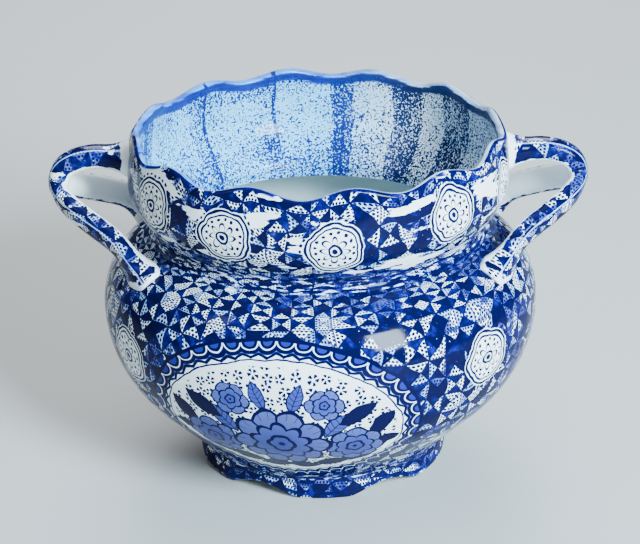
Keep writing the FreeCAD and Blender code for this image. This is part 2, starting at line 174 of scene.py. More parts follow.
class Wire:
    def __init__(self, tree, socket=None):
        self.tree = tree
        self.socket = socket

    def node(self, kind, settings=None, values=None, out=0):
        made = self.tree.nodes.new(kind)
        for key, value in (settings or {}).items():
            if key == "stops":
                steps = made.color_ramp.elements
                steps.remove(steps[1])
                steps[0].position, steps[0].color = value[0]
                for place, colour in value[1:]:
                    steps.new(place).color = colour
            elif key == "blend":
                made.color_ramp.interpolation = value
            else:
                setattr(made, key, value)
        for key, value in (values or {}).items():
            if isinstance(value, Wire):
                self.tree.links.new(value.socket, made.inputs[key])
            else:
                made.inputs[key].default_value = value
        return Wire(self.tree, made.outputs[out] if made.outputs else None)

    def math(self, operation, *others, clamp=False):
        settings = {"operation": operation, "use_clamp": clamp}
        return self.node("ShaderNodeMath", settings, dict(enumerate((self,) + others)))

    def __add__(self, other): return self.math("ADD", other)
    def __radd__(self, other): return self.math("ADD", other)
    def __sub__(self, other): return self.math("SUBTRACT", other)
    def __rsub__(self, other): return self.math("MULTIPLY_ADD", -1.0, other)
    def __mul__(self, other): return self.math("MULTIPLY", other)
    def __rmul__(self, other): return self.math("MULTIPLY", other)
    def __truediv__(self, other): return self.math("DIVIDE", other)
    def __mod__(self, other): return self.math("FLOORED_MODULO", other)
    def __pow__(self, other): return self.math("POWER", other)
    def __abs__(self): return self.math("ABSOLUTE")
    def __lt__(self, other): return self.math("LESS_THAN", other)
    def __gt__(self, other): return self.math("GREATER_THAN", other)
    def __and__(self, other): return self.math("MINIMUM", other)
    def __or__(self, other): return self.math("MAXIMUM", other)

    def under(self, limit, soft):  # 1 below the limit and 0 above, with a soft edge
        return self.math("MULTIPLY_ADD", -1.0 / soft, limit / soft + 0.5, clamp=True)

    def over(self, limit, soft):
        return self.math("MULTIPLY_ADD", 1.0 / soft, 0.5 - limit / soft, clamp=True)

    def near(self, value, half, soft):  # 1 in a line round a value
        return abs(self - value).under(half, soft)

    def away(self, other):  # distance from the middle, for two axes
        return (self * self + other * other).math("SQRT")

    def split(self):
        parts = self.node("ShaderNodeSeparateXYZ", None, {0: self}).socket.node
        return [Wire(self.tree, parts.outputs[spot]) for spot in range(3)]

    def noise(self, scale, detail=2.0, out=0):
        return self.node("ShaderNodeTexNoise", None, {"Vector": self, "Scale": scale, "Detail": detail}, out)

    def stretch(self, scale, turn=(0, 0, 0)):
        return self.node("ShaderNodeMapping", None, {"Vector": self, "Scale": scale, "Rotation": turn})

    def ramp(self, stops, blend="LINEAR"):
        return self.node("ShaderNodeValToRGB", {"stops": stops, "blend": blend}, {0: self})

    def mix(self, first, second):  # from the first colour to the second
        return self.node("ShaderNodeMix", {"data_type": "RGBA"}, {0: self, 6: first, 7: second}, 2)


def readMap(start, name):
    return start.node("ShaderNodeUVMap", {"uv_map": name}).split()[:2]


def driftMap(start, body, name, look, detail=1.0):  # a map of the piece, pulled about a little
    flat = start.node("ShaderNodeUVMap", {"uv_map": name})
    pull = body.noise(look["driftScale"], detail, 1)
    values = {0: pull, 1: (look["drift"],) * 3, 2: flat}
    return start.node("ShaderNodeVectorMath", {"operation": "MULTIPLY_ADD"}, values).split()[:2]


# Glaze

inkStops = (  # from bare white glaze to the deepest print
    (0.0, (0.84, 0.89, 0.90, 1)), (0.20, (0.34, 0.52, 0.82, 1)), (0.42, (0.088, 0.115, 0.33, 1)),
    (0.62, (0.005, 0.009, 0.19, 1)), (0.82, (0.002, 0.003, 0.060, 1)), (1.0, (0.002, 0.002, 0.022, 1)),
)
glazeLook = {
    "rippleScale": 55.0, "pitScale": 420.0, "pitDepth": 0.06, "inkDepth": 0.012, "bump": 0.42, "bumpDepth": 0.0018,
    "roughScale": 90.0, "roughSpan": 0.10, "roughLeast": 0.06,
    "index": 1.5, "underGloss": 0.02, "coat": 0.13, "coatRough": 0.07,
}


def startGlaze(name):
    material = bpy.data.materials.new(name)
    material.use_nodes = True
    material.node_tree.nodes.clear()
    start = Wire(material.node_tree)
    body = start.node("ShaderNodeTexCoord", out=3)  # Object coordinates
    return material, start, body


def endGlaze(start, body, colour, ink=None):  # a clear coat that pools and pits a little over the print
    look = glazeLook
    height = body.noise(look["rippleScale"]) + body.noise(look["pitScale"], 1.0) * look["pitDepth"]
    if ink is not None:
        height = height + ink * look["inkDepth"]
    bump = {"Strength": look["bump"], "Distance": look["bumpDepth"], "Height": height}
    shader = start.node("ShaderNodeBsdfPrincipled", None, {
        "Base Color": colour, "Normal": start.node("ShaderNodeBump", None, bump),
        "Roughness": body.noise(look["roughScale"], 3.0) * look["roughSpan"] + look["roughLeast"],
        "IOR": look["index"], "Specular IOR Level": look["underGloss"],
        "Coat Weight": look["coat"], "Coat Roughness": look["coatRough"], "Coat IOR": look["index"],
    })
    start.node("ShaderNodeOutputMaterial", None, {"Surface": shader})


def endPrint(start, body, ink):
    endGlaze(start, body, ink.ramp(inkStops), ink)


# Ornament of the print: pairs are a limit and its softness, threes are a line's place, half width and softness

mosaicLook = {
    "drift": 0.85, "driftScale": 50.0, "slant": 0.707, "flip": 0.86, "line": (0.024, 0.02), "lineInk": 0.95,
    "dotCount": 5.8, "dotSize": (0.140, 0.05), "dotMargin": (0.028, 0.03), "dotInk": 0.97,
    "waterScale": 240.0, "toneSpan": 0.26, "toneLeast": 0.30, "toneMost": 0.97, "washShare": 0.36, "washInk": 0.50,
    "sheetScale": 52.0, "sheetStretch": (1, 1, 0.8), "sheetShare": (0.585, 0.03),
    "sheetGrain": 330.0, "sheetSpan": 0.62, "sheetLeast": 0.22,
    "gapScale": 38.0, "gapStretch": (1, 1, 2.6), "gapTurn": (0, 0, 0.5), "gapShare": (0.70, 0.012),
    "wornScale": 700.0, "wornShare": (0.755, 0.04),
}


def mosaicInk(start, body, look, crowd):  # cells of four triangles, solid and dotted by turns
    across, up = driftMap(start, body, "print", look)
    column = across.math("FLOOR")
    row = up.math("FLOOR")
    sideways = across - column - 0.5
    upright = up - row - 0.5
    wide = abs(sideways)
    tall = abs(upright)
    leftRight = wide > tall
    edge = (abs(wide - tall) * look["slant"]) & (0.5 - (wide | tall))
    name = start.node("ShaderNodeCombineXYZ", None, {
        0: column + sideways.math("SIGN") * leftRight * 0.3,
        1: row + upright.math("SIGN") * (1 - leftRight) * 0.3,
    })
    chance = start.node("ShaderNodeTexWhiteNoise", {"noise_dimensions": "2D"}, {"Vector": name})
    solid = abs(abs(leftRight - (column + row) % 2.0) - (chance > look["flip"]))
    dotAcross = (across + (up - across) * leftRight) * look["dotCount"]
    dotUp = (up + (across - up) * leftRight) * look["dotCount"]
    dotAcross = (dotAcross + (dotUp.math("FLOOR") % 2.0) * 0.5).math("FRACT") - 0.5
    dotUp = dotUp.math("FRACT") - 0.5
    dots = (dotAcross * dotAcross + dotUp * dotUp).under(*look["dotSize"]) * edge.over(*look["dotMargin"])
    water = body.noise(look["waterScale"])
    tone = (water + chance * look["toneSpan"] + look["toneLeast"]) & look["toneMost"]
    wash = (chance < look["washShare"]) * water * look["washInk"]
    ink = (solid * tone) | ((1 - solid) * (dots * look["dotInk"] | wash))
    ink = ink | (edge.under(*look["line"]) * look["lineInk"])
    sheets = body.stretch(look["sheetStretch"]).noise(look["sheetScale"], 3.0) + crowd  # sheets that overlap
    grain = body.noise(look["sheetGrain"]) * look["sheetSpan"] + look["sheetLeast"]
    ink = ink | (sheets.over(*look["sheetShare"]) * grain)
    gap = body.stretch(look["gapStretch"], look["gapTurn"]).noise(look["gapScale"], 4.0)  # where no print took
    return ink * gap.under(*look["gapShare"]) * body.noise(look["wornScale"]).under(*look["wornShare"])


creaseLook = {
    "stretch": (0.7, 0.7, 3.4), "scale": 210.0,
    "bare": (0.39, 0.06), "bareShare": 0.85, "darkPrintAndShade": (0.535, 0.08), "darkPrintAndShadeInk": 0.97,
}


def creaseInk(ink, body, near, look):  # dark and bare streaks where the print is squeezed; the dark streaks are partly squeezed print and partly painted shade in the crease
    streaks = body.stretch(look["stretch"]).noise(look["scale"])
    bare = near * streaks.under(*look["bare"]) * look["bareShare"]
    return (ink * (1 - bare)) | (near * streaks.over(*look["darkPrintAndShade"]) * look["darkPrintAndShadeInk"])


def lobed(far, wave, depth, reach):  # a distance that is 1 on a lobed outline
    return far / (abs(wave) * depth + reach)


medalLook = {
    "drift": 0.20, "driftScale": 130.0, "shake": 0.16, "shakeScale": 260.0, "groundShake": 0.4, "ink": 0.97,
    "thinInk": 0.95, "lobes": 5, "lobeDepth": 0.09, "ground": (1.09, 0.02), "outerLine": (1.0, 0.045, 0.02),
    "innerLine": (0.84, 0.032, 0.02), "dashes": 29, "dashHalf": (0.25, 0.10), "dashLine": (1.16, 0.045, 0.03),
    "petals": 8, "petalPower": 0.45, "petalReach": 0.50, "petalLine": (0.0, 0.042, 0.02), "petalFrom": (0.2, 0.02),
    "eyeLine": (0.21, 0.040, 0.02), "eye": (0.10, 0.03),
    "beads": 16, "beadSpan": 0.26, "beadFar": 0.66, "beadSize": (0.0034, 0.0016),
}


def medalInk(start, body, ground, look):  # a lobed roundel with a many-petalled rosette
    across, up = [axis - look["drift"] / 2 for axis in driftMap(start, body, "medal", look)]
    turn = up.math("ARCTAN2", across)
    far = across.away(up)
    lobe = lobed(far, (turn * (look["lobes"] / 2)).math("SINE"), look["lobeDepth"], 1 - look["lobeDepth"])
    shaky = (body.noise(look["shakeScale"], 1.0) - 0.5) * look["shake"]
    dashes = abs((turn * (look["dashes"] / fullTurn) + shaky).math("FRACT") - 0.5).under(*look["dashHalf"])
    ink = ground * (lobe + shaky * look["groundShake"]).over(*look["ground"])
    ink = ink | (dashes * (lobe + shaky).near(*look["dashLine"]) * look["ink"])
    ink = ink | (lobe.near(*look["outerLine"]) * look["ink"]) | (lobe.near(*look["innerLine"]) * look["thinInk"])
    petal = abs((turn * (look["petals"] / 2)).math("COSINE")) ** look["petalPower"] * look["petalReach"]
    rosette = (far - petal).near(*look["petalLine"]) * far.over(*look["petalFrom"])
    ink = ink | (rosette * look["thinInk"])
    ink = ink | (far.near(*look["eyeLine"]) * look["thinInk"]) | (far.under(*look["eye"]) * look["ink"])
    beadAcross = ((turn * (look["beads"] / fullTurn)).math("FRACT") - 0.5) * look["beadSpan"]
    beadUp = far - look["beadFar"]
    return ink | ((beadAcross * beadAcross + beadUp * beadUp).under(*look["beadSize"]) * look["ink"])


bloomLook = {
    "outerDepth": 0.16, "innerDepth": 0.14, "innerReach": 0.48, "innerTurn": 1.57,
    "heartPetals": 5, "heartDepth": 0.05, "heartReach": 0.22, "cover": (1.0, 0.03), "innerCover": (1.0, 0.05),
    "seam": (0.16, 0.06), "seamInk": 0.97, "vein": (0.12, 0.10), "veinRing": (0.84, 0.10, 0.03), "veinInk": 0.80,
    "wash": 0.54, "washFade": 0.10, "innerWash": 0.02, "lineInk": 0.98, "eye": (0.07, 0.03), "eyeInk": 0.95,
    "outerLine": (0.97, 0.056, 0.03), "innerLine": (1.0, 0.075, 0.04), "heartLine": (1.0, 0.17, 0.06),
}


def bloom(ink, across, up, place, radius, petals, look):  # a layered round flower laid over the ink so far
    x = across - place[0]
    y = up - place[1]
    turn = y.math("ARCTAN2", x)
    far = x.away(y) / radius
    wave = (turn * (petals / 2)).math("COSINE")
    innerWave = (turn * (petals / 2) + look["innerTurn"]).math("COSINE")
    heartWave = (turn * (look["heartPetals"] / 2)).math("COSINE")
    outer = lobed(far, wave, look["outerDepth"], 1 - look["outerDepth"])
    inner = lobed(far, innerWave, look["innerDepth"], look["innerReach"])
    heart = lobed(far, heartWave, look["heartDepth"], look["heartReach"])
    seam = abs(wave).under(*look["seam"]) * inner.over(*look["innerCover"])
    vein = abs((turn * (petals * 1.5)).math("COSINE")).under(*look["vein"]) * outer.near(*look["veinRing"])
    wash = look["wash"] - (far * look["washFade"]) + inner.under(*look["innerCover"]) * look["innerWash"]
    drawn = wash | (seam * look["seamInk"]) | (vein * look["veinInk"]) | (far.under(*look["eye"]) * look["eyeInk"])
    for distance, line in ((outer, "outerLine"), (inner, "innerLine"), (heart, "heartLine")):
        drawn = drawn | (distance.near(*look[line]) * look["lineInk"])
    cover = outer.under(*look["cover"])
    return ink * (1 - cover) + drawn * cover


leafLook = {
    "cover": (1.0, 0.05), "line": (0.92, 0.09, 0.05), "lineInk": 0.98, "rib": (0.06, 0.05), "ribInk": 0.95,
    "barbs": 3.2, "barb": (0.09, 0.08), "barbInk": 0.82,
}


def leaf(ink, across, up, place, turn, length, width, tone, look):  # a pointed leaf laid over the ink so far
    x = (across - place[0]) * (math.cos(turn) / length) + (up - place[1]) * (math.sin(turn) / length)
    y = (up - place[1]) * (math.cos(turn) / width) - (across - place[0]) * (math.sin(turn) / width)
    side = abs(y)
    shape = side + x * x
    rib = side.under(*look["rib"]) * look["ribInk"]
    barb = abs(((x * look["barbs"]) - side).math("FRACT") - 0.5).under(*look["barb"]) * look["barbInk"]
    drawn = rib | barb | (shape.near(*look["line"]) * look["lineInk"]) | tone
    cover = shape.under(*look["cover"])
    return ink * (1 - cover) + drawn * cover


floretLook = {
    "pitch": (0.76, 0.70), "jitter": (0.26, 0.24), "petals": 5, "gap": (-0.25, 0.4), "ring": (0.185, 0.095, 0.03),
    "inside": (-0.35, 0.03), "ink": 0.97,
}


def floretInk(start, across, up, look):  # small flowers of five dots, one in each cell of a loose grid
    column = (across / look["pitch"][0]).math("FLOOR")
    row = (up / look["pitch"][1]).math("FLOOR")
    name = start.node("ShaderNodeCombineXYZ", None, {0: column, 1: row})
    jitter = start.node("ShaderNodeTexWhiteNoise", {"noise_dimensions": "2D"}, {"Vector": name}, 1)
    jitterAcross, jitterUp, jitterTurn = jitter.split()
    x = across - (column + 0.5) * look["pitch"][0] - (jitterAcross - 0.5) * look["jitter"][0]
    y = up - (row + 0.5) * look["pitch"][1] - (jitterUp - 0.5) * look["jitter"][1]
    turn = y.math("ARCTAN2", x) + jitterTurn * fullTurn
    return (turn * look["petals"]).math("COSINE").over(*look["gap"]) * x.away(y).near(*look["ring"])


ovalLook = {  # centimetres
    "drift": 0.36, "driftScale": 75.0, "halfWidth": 6.75, "halfHeight": 4.75, "ink": 0.97, "thinInk": 0.95,
    "ground": (1.08, 0.03), "border": (0.98, 0.02), "borderLine": (1.04, 0.110, 0.04), "innerLine": (0.0, 0.040, 0.03),
    "scallops": 44, "evenOut": 0.087, "scallopSpan": 0.84, "archFoot": 0.92, "archFill": (0.26, 0.03), "archWash": 0.60,
    "archLine": (0.29, 0.070, 0.03), "wideArchLine": (0.53, 0.100, 0.04),
    "waveSlope": 0.50, "waveLine": (0.13, 0.085, 0.03),
    # each bloom: place, radius, petals; each leaf: place, lean, length, width, tone
    "blooms": (((2.45, 2.25), 1.05, 6), ((4.15, -1.10), 1.80, 8), ((0.0, -0.80), 2.85, 10)),
    "leaves": (
        ((0.95, -3.80), -0.12, 1.25, 0.52, 0.95), ((2.95, -3.20), 0.25, 1.40, 0.58, 0.95),
        ((4.75, -2.55), 0.60, 1.15, 0.46, 0.95), ((3.05, 0.85), 0.95, 1.15, 0.52, 0.52),
        ((5.45, 0.75), 0.95, 1.15, 0.50, 0.95), ((1.00, 2.65), 1.25, 1.00, 0.42, 0.54),
        ((4.15, 1.60), 0.60, 1.20, 0.50, 0.95), ((5.95, -0.55), 0.30, 0.75, 0.40, 0.95),
    ),
}


def ovalInk(start, body, ground, look):  # a scalloped oval with a mirrored spray of flowers
    across, up = [axis - look["drift"] / 2 for axis in driftMap(start, body, "oval", look, 2.0)]
    wide = across / look["halfWidth"]
    tall = up / look["halfHeight"]
    turn = tall.math("ARCTAN2", wide)
    ring = wide.away(tall)
    slope = (wide * wide / look["halfWidth"] ** 2 + tall * tall / look["halfHeight"] ** 2).math("SQRT")
    out = (ring - 1) * ring / (slope + 0.001)  # distance outside the oval
    pitch = (turn - (turn * 2.0).math("SINE") * look["evenOut"]) * (look["scallops"] / fullTurn)
    beside = (pitch.math("FRACT") - 0.5) * look["scallopSpan"]
    arch = beside.away(out - look["archFoot"])
    wave = out - (abs(beside) * look["waveSlope"])
    border = out.under(*look["border"])
    ink = (ground * out.over(*look["ground"])) | (out.near(*look["borderLine"]) * look["ink"])
    ink = ink | (border * arch.under(*look["archFill"]) * look["archWash"])
    ink = ink | (border * arch.near(*look["archLine"]) * look["ink"])
    ink = ink | (border * arch.near(*look["wideArchLine"]) * look["thinInk"])
    ink = ink | (border * wave.near(*look["waveLine"]) * look["thinInk"]) | (out.near(*look["innerLine"]) * look["ink"])
    florets = floretInk(start, across, up, floretLook) * out.under(*floretLook["inside"])
    ink = ink | (florets * floretLook["ink"])
    mirrored = abs(across)
    for each in look["leaves"]:
        ink = leaf(ink, mirrored, up, *each, leafLook)
    for each in look["blooms"]:
        ink = bloom(ink, mirrored, up, *each, bloomLook)
    return ink


# Bowl

bowlForm = {
    "baseRadius": 0.071, "baseLevel": 0.0152, "bellyRadius": 0.120, "bellyLevel": 0.094, "bellyArc": 0.072,
    "waistRadius": 0.0893, "waistLevel": 0.1352, "shoulderArc": 0.04299, "wall": 0.006, "neckRadius": 0.0838,
    "floorLevel": 0.0222, "baseRound": 0.0012, "baseEdge": 0.0003, "neckEdge": (0.002, 0.001), "floorRound": 0.003,
    "steps": 216, "baseSteps": 9, "coneSteps": 16, "bellySteps": 34, "shoulderSteps": 30,
    "insideShoulderSteps": 22, "insideBellySteps": 26, "insideCone": (0.3, 0.6, 0.85, 0.95),
    "cells": 62, "cellHeight": 0.0120, "squeeze": 0.118, "belowLip": 57.0,
    # motifs: degrees from the front, and metres up the outside
    "medals": ((-59.5, 0.0876), (46.5, 0.0931), (121.5, 0.0905), (-133.0, 0.0905)), "medalRadius": 0.0152,
    "ovals": ((-11.5, 0.0622), (168.5, 0.0622)), "ovalUnit": 0.01, "motifReach": 0.117,
}


def bowlSection(form):  # out along the base, up the outside, down the inside and back along the floor
    base = (form["baseRadius"], form["baseLevel"])
    belly = (form["bellyRadius"] - form["bellyArc"], form["bellyLevel"])
    shoulder = (form["bellyRadius"] - form["shoulderArc"], form["bellyLevel"])
    across = base[0] - belly[0]
    up = base[1] - belly[1]
    lean = math.atan2(up, across) + math.acos(form["bellyArc"] / math.hypot(across, up))
    waist = math.atan2(form["waistLevel"] - shoulder[1], form["waistRadius"] - shoulder[0])
    insideArc = form["shoulderArc"] - form["wall"]
    neck = math.acos((form["neckRadius"] - shoulder[0]) / insideArc)
    touch = arcPoints(belly, form["bellyArc"], lean, lean, 1)[0]
    points = [(radius, base[1]) for radius in np.linspace(0, base[0] - form["baseRound"], form["baseSteps"])]
    first = len(points)
    points += [(base[0] - form["baseEdge"], base[1] + form["baseEdge"])]
    points += linePoints(base, touch, np.linspace(0.04, 0.96, form["coneSteps"]))
    points += arcPoints(belly, form["bellyArc"], lean, 0, form["bellySteps"])
    points += arcPoints(shoulder, form["shoulderArc"], 0, waist, form["shoulderSteps"])[1:]
    last = len(points)
    points += [(form["neckRadius"] + form["neckEdge"][0], form["waistLevel"])]
    points += [(form["neckRadius"], form["waistLevel"] - form["neckEdge"][1])]
    points += arcPoints(shoulder, insideArc, neck, 0, form["insideShoulderSteps"])
    points += arcPoints(belly, form["bellyArc"] - form["wall"], 0, lean, form["insideBellySteps"])[1:]
    lower = points[-1]
    run = (touch[0] - base[0]) / (touch[1] - base[1])
    floorRadius = lower[0] - run * (lower[1] - form["floorLevel"])
    points += linePoints(lower, (floorRadius, form["floorLevel"]), form["insideCone"])
    floorReach = np.linspace(floorRadius - form["floorRound"], 0, form["baseSteps"])
    points += [(radius, form["floorLevel"]) for radius in floorReach]
    return points, first, last


def buildBowl(form):
    points, first, last = bowlSection(form)
    piece = addRing("bowlShell", points)
    spot, along = spinRing(piece, points, form["steps"], True)
    angle, corner, face, faceAngle = roundAngles(piece)
    rise = along[spot[corner]] - along[first]
    squeezed = along[last - 1] - along[first] - form["squeeze"]  # the print is squeezed into the crease
    pressed = np.clip(rise - form["squeeze"], 0, squeezed)
    height = (rise + pressed ** 2 / squeezed) / form["cellHeight"]
    addMap(piece, "print", angle * form["cells"] / fullTurn, height)
    addMap(piece, "rise", angle, rise * mm)
    for name, motifs, size in (("medal", "medals", form["medalRadius"]), ("oval", "ovals", form["ovalUnit"])):
        addMap(piece, name, *nearMotif(angle, faceAngle, rise, form[motifs], form["motifReach"], size))
    addMap(piece, "lip", angle / fullTurn, form["belowLip"])
    lowest, highest = faceSpan(spot, corner, face)
    inside = (lowest < first - 1) | (highest > last)
    neck = (lowest >= last - 1) & (highest <= last + 2)
    paintFaces(piece, np.where(neck, 2, inside))
    return piece


bowlLook = {
    # where the sheets pile up: millimetres up the outside, and radians from the front; the piled sheets on the right of
    # the belly darken it, partly as painted shade
    "crowdUp": (138.0, 24.0), "shadedCrowdAround": (0.98, 0.34, 0.3), "crowd": 0.06, "crease": (147.5, 9.0),
    "footLine": (2.0, 1.3, 0.8), "footScale": 160.0, "footSpan": 1.2, "footLeast": 0.1,
}


def bowlGlaze(look):
    material, start, body = startGlaze("bowlPrint")
    around, up = readMap(start, "rise")
    # more print towards the right of the belly, partly piled sheets and partly painted shade
    crowd = up.over(*look["crowdUp"]) * look["crowd"] + around.near(*look["shadedCrowdAround"]) * look["crowd"]
    ink = mosaicInk(start, body, mosaicLook, crowd)
    # dark streaks in the crease below the collar, partly print and partly painted shade
    ink = creaseInk(ink, body, up.over(*look["crease"]), creaseLook)
    ink = medalInk(start, body, ink, medalLook)
    ink = ovalInk(start, body, ink, ovalLook)
    footLine = body.noise(look["footScale"]) * look["footSpan"] + look["footLeast"]
    endPrint(start, body, ink | (up.near(*look["footLine"]) * footLine))
    return material


# white glaze painted grey-green, as it looks in shade inside the bowl: painted shade
shadedWhiteLook = {
    "tintScale": 18.0, "shadedTints": ((0.3, (0.48, 0.58, 0.58, 1)), (0.7, (0.60, 0.68, 0.68, 1))),
    "speckScale": 900.0, "speck": (0.80, 0.03), "speckShare": 0.35, "speckColour": (0.35, 0.33, 0.30, 1),
}


def shadedWhiteGlaze(look):
    material, start, body = startGlaze("shadedWhiteGlaze")
    # painted shade: the white is given grey-green tints
    white = body.noise(look["tintScale"], 3.0).ramp(look["shadedTints"])
    speck = body.noise(look["speckScale"], 1.0).over(*look["speck"]) * look["speckShare"]
    endGlaze(start, body, speck.mix(white, look["speckColour"]))
    return material


shadedWhite = shadedWhiteGlaze(shadedWhiteLook)
bowlShell = buildBowl(bowlForm)
bowlShell.data.materials.append(bowlGlaze(bowlLook))
bowlShell.data.materials.append(shadedWhite)
finishPiece(bowlShell, "printed_glaze", "bowl")
print("stage: bowl")


# Collar

collarForm = {
    "level": 0.1364, "waistRadius": 0.0893, "radius": 0.1037, "swell": 0.028, "swellPower": 1.3, "rimIn": 0.0025,
    "rim": 0.1902, "wall": 0.005, "neckWall": 0.0055, "waves": 12, "waveRise": 0.0024, "waveLean": 0.0012,
    "waveFade": 0.026, "turn": 5.0, "steps": 240, "swellSteps": 18, "wallSteps": 16, "lipPoints": 13,
    "cells": 56, "cellHeight": 0.0114, "squeeze": 0.024, "medalRadius": 0.0150,
    "medals": (
        (-57.5, 0.0372), (-28.2, 0.0327), (4.2, 0.0292), (41.8, 0.0367), (74.0, 0.0330), (106.0, 0.0345),
        (138.0, 0.0310), (170.0, 0.0340), (-158.0, 0.0325), (-124.0, 0.0345), (-90.0, 0.0335),
    ),
}


def collarSection(form):  # up the outside, over the lip and down the inside
    lip = form["wall"] / 2
    full = form["level"] + form["swell"]
    top = form["rim"] - lip

    def outer(up):
        if up < full:
            rise = math.sin((up - form["level"]) / form["swell"] * math.pi / 2) ** form["swellPower"]
            return form["waistRadius"] + rise * (form["radius"] - form["waistRadius"])
        return form["radius"] - form["rimIn"] * ((up - full) / (top - full)) ** 2

    def thick(up):
        return form["neckWall"] + min(1, (up - form["level"]) / form["swell"]) * (form["wall"] - form["neckWall"])

    levels = list(np.linspace(form["level"], full, form["swellSteps"], endpoint=False))
    levels += list(np.linspace(full, top, form["wallSteps"], endpoint=False))
    outside = [(outer(up), up) for up in levels]
    inside = [(outer(up) - thick(up), up) for up in levels]
    edge = arcPoints((outer(top) - lip, top), lip, 0, math.pi, form["lipPoints"])
    return outside + edge + inside[::-1], len(outside) + form["lipPoints"] // 2


def buildCollar(form):
    points, crest = collarSection(form)
    piece = addRing("collarShell", points)
    spot, along = spinRing(piece, points, form["steps"], False)
    spots = readSpots(piece)
    far = np.hypot(spots[:, 0], spots[:, 1])
    around = np.arctan2(spots[:, 0], -spots[:, 1])
    depth = np.clip((form["rim"] - spots[:, 2]) / form["waveFade"], 0, 1)
    lean = np.cos(form["waves"] * (around + math.radians(form["turn"]))) * (1 + np.cos(math.pi * depth)) / 2
    spots[:, :2] *= ((far + form["waveLean"] * lean) / far)[:, None]
    spots[:, 2] -= form["waveRise"] * lean
    writeSpots(piece, spots)
    angle, corner, face, faceAngle = roundAngles(piece)
    rise = along[spot[corner]]
    pressed = np.clip(form["squeeze"] - rise, 0, None)
    height = (rise - pressed ** 2 / form["squeeze"]) / form["cellHeight"]
    addMap(piece, "print", angle * form["cells"] / fullTurn, height)
    medals = nearMotif(angle, faceAngle, rise, form["medals"], form["radius"], form["medalRadius"])
    addMap(piece, "medal", *medals)
    addMap(piece, "lip", angle / fullTurn, (rise - along[crest]) * mm)
    highest = faceSpan(spot, corner, face)[1]
    paintFaces(piece, highest >= crest)
    return piece


collarLook = {  # millimetres past the crest of the lip
    **mosaicLook, "gapTurn": (0, 0.5, 0.4), "gapShare": (0.562, 0.012), "gapStretch": (0.8, 0.8, 3.2),
    "crowdUp": (-42.0, 16.0), "crowd": 0.06, "crease": (-53.0, 8.0), "end": (-0.2, 0.8),
    "lipLine": (-2.6, 1.2), "lipScale": 60.0, "lipShare": (0.46, 0.06), "lipInk": 0.78,
}


def collarGlaze(look):
    material, start, body = startGlaze("collarPrint")
    past = readMap(start, "lip")[1]
    ink = mosaicInk(start, body, look, past.under(*look["crowdUp"]) * look["crowd"])
    # dark streaks in the crease at the foot of the collar, partly print and partly painted shade
    ink = creaseInk(ink, body, past.under(*look["crease"]), creaseLook)
    ink = medalInk(start, body, ink, medalLook)
    smears = body.noise(look["lipScale"], 3.0).over(*look["lipShare"])
    ink = ink | (past.over(*look["lipLine"]) * smears * look["lipInk"])
    endPrint(start, body, ink * past.under(*look["end"]))
    return material


stippleLook = {
    # degrees from the front where a sheet of the stipple ends, and where two sheets overlap
    "seams": (20, 75, 170.5, 194.5, 221, 255, 288, 320), "seamHalf": 0.75, "verge": (1.5, 5.0),
    "overlaps": ((60, 75), (119, 131.5), (141.5, 152.5), (167, 173), (250, 256), (312, 322)),
    "wander": 0.006, "wanderScale": 70.0,
    # crowding of the specks, then the specks themselves, in millimetres below the lip
    "cloudScale": 46.0, "cloudCrowd": 0.30, "overlapCrowd": 0.10, "vergeCrowd": 0.04, "low": (44.0, 14.0),
    "lowCrowd": 0.06, "high": (12.0, 10.0), "highCrowd": 0.05, "speckScale": 900.0, "specks": (0.284, 0.04),
    "speckToneScale": 35.0, "speckSpan": 0.3, "speckLeast": 0.64, "speckFrom": (3.4, 1.6),
    "overlapScale": 500.0, "overlapSpecks": (0.54, 0.06), "overlapInk": 0.34, "cloudInk": 0.08, "overlapWash": 0.06,
    "seamScale": 600.0, "seamSpecks": (0.44, 0.06), "seamBreakScale": 34.0, "seamBreak": (0.42, 0.10), "seamInk": 0.80,
    # the brushed line under the lip and the thin wash over it
    "brushScale": 70.0, "brushStretch": (1, 1, 6), "brushSway": 4, "band": (5.4, 2.6, 1.4), "bandSpan": 0.60,
    "bandLeast": 0.42, "bandMost": 0.80, "thin": (3.0, 1.4), "thinSpan": 0.56, "thinLeast": 0.08,
    # painted light: the stipple is cyan on the left as if lit by a sky-blue light, and greyer to the right, partly grey
    # print and partly painted shade
    "shadedRight": (0.030, 0.05), "shadedRightMost": 0.95,
    "skyLitStops": (
        (0.0, (0.15, 0.57, 0.86, 1)), (0.22, (0.055, 0.28, 0.70, 1)), (0.45, (0.02, 0.08, 0.42, 1)),
        (0.64, (0.010, 0.030, 0.26, 1)), (0.90, (0.006, 0.010, 0.080, 1)),
    ),
    "shadedGreyStops": (
        (0.0, (0.78, 0.86, 0.90, 1)), (0.22, (0.46, 0.58, 0.70, 1)), (0.45, (0.19, 0.26, 0.40, 1)),
        (0.64, (0.024, 0.036, 0.12, 1)), (0.90, (0.008, 0.010, 0.050, 1)),
    ),
}


def bandsAt(turn, bands):  # 1 inside any of the bands, which are in degrees
    stops = [(0.0, (0, 0, 0, 1))]
    for first, last in bands:
        stops += [(first / 360, (1, 1, 1, 1)), (last / 360, (0, 0, 0, 1))]
    return turn.ramp(stops, "CONSTANT")


